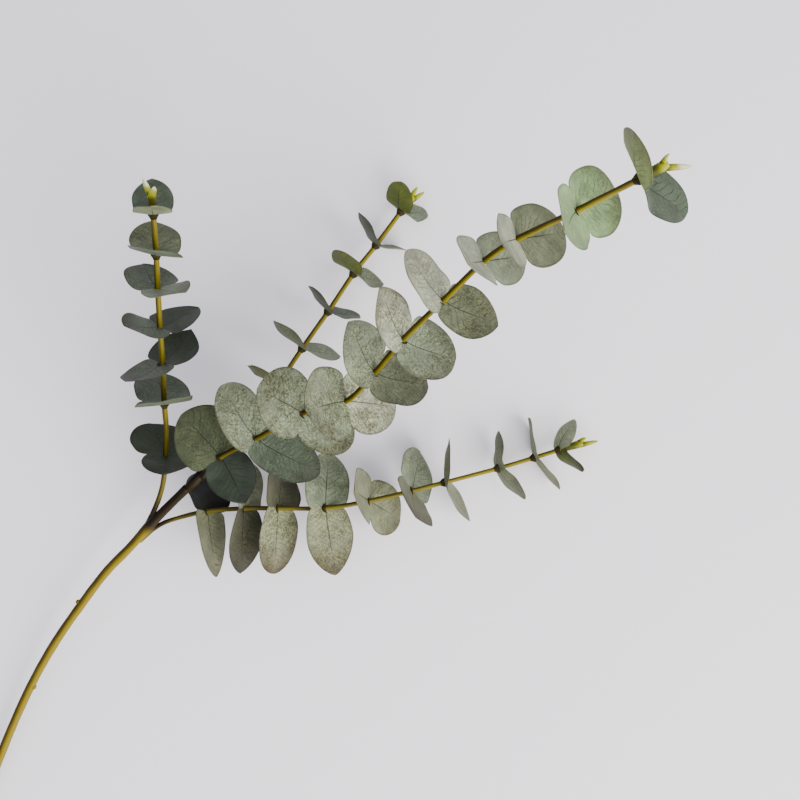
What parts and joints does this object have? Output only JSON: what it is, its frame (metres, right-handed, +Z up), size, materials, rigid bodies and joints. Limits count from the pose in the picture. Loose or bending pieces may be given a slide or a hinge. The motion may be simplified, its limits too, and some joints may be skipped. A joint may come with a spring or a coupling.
{
  "type": "eucalyptus branch",
  "caption": "Leafy branch lying on a table: a bare curved stem that forks into slender sprigs threaded with pairs of round grey-green leaves, each tipped with a forked bud",
  "frame": {"origin": "On the table, under the middle of the branch's box seen from above", "axes": "+Z up from the table, +X to the right and +Y away as seen from above; the cut stem end is at the -X -Y corner"},
  "size_m": [0.5024, 0.5216, 0.293],
  "materials": {
    "bark": "semi-gloss olive brown",
    "sprig": "semi-gloss olive yellow",
    "leaf": "matt silvery sage green, finely speckled",
    "bud": "satin yellow-green"
  },
  "bodies": {
    "root": {"left_bud": "bud", "left_leaf_pair_1": "leaf", "left_leaf_pair_2": "leaf", "left_leaf_pair_3": "leaf", "left_leaf_pair_4": "leaf", "left_leaf_pair_5": "leaf", "left_leaf_pair_6": "leaf", "left_leaf_pair_7": "leaf", "left_sprig_stem": "sprig", "lower_bud": "bud", "lower_leaf_pair_1": "leaf", "lower_leaf_pair_10": "leaf", "lower_leaf_pair_2": "leaf", "lower_leaf_pair_3": "leaf", "lower_leaf_pair_4": "leaf", "lower_leaf_pair_5": "leaf", "lower_leaf_pair_6": "leaf", "lower_leaf_pair_7": "leaf", "lower_leaf_pair_8": "leaf", "lower_leaf_pair_9": "leaf", "lower_sprig_stem": "sprig", "main_stem": "bark", "middle_bud": "bud", "middle_leaf_pair_1": "leaf", "middle_leaf_pair_2": "leaf", "middle_leaf_pair_3": "leaf", "middle_leaf_pair_4": "leaf", "middle_leaf_pair_5": "leaf", "middle_leaf_pair_6": "leaf", "middle_sprig_stem": "sprig", "upper_bud": "bud", "upper_leaf_pair_1": "leaf", "upper_leaf_pair_10": "leaf", "upper_leaf_pair_11": "leaf", "upper_leaf_pair_2": "leaf", "upper_leaf_pair_3": "leaf", "upper_leaf_pair_4": "leaf", "upper_leaf_pair_5": "leaf", "upper_leaf_pair_6": "leaf", "upper_leaf_pair_7": "leaf", "upper_leaf_pair_8": "leaf", "upper_leaf_pair_9": "leaf", "upper_sprig_stem": "sprig"}
  },
  "joints": []
}
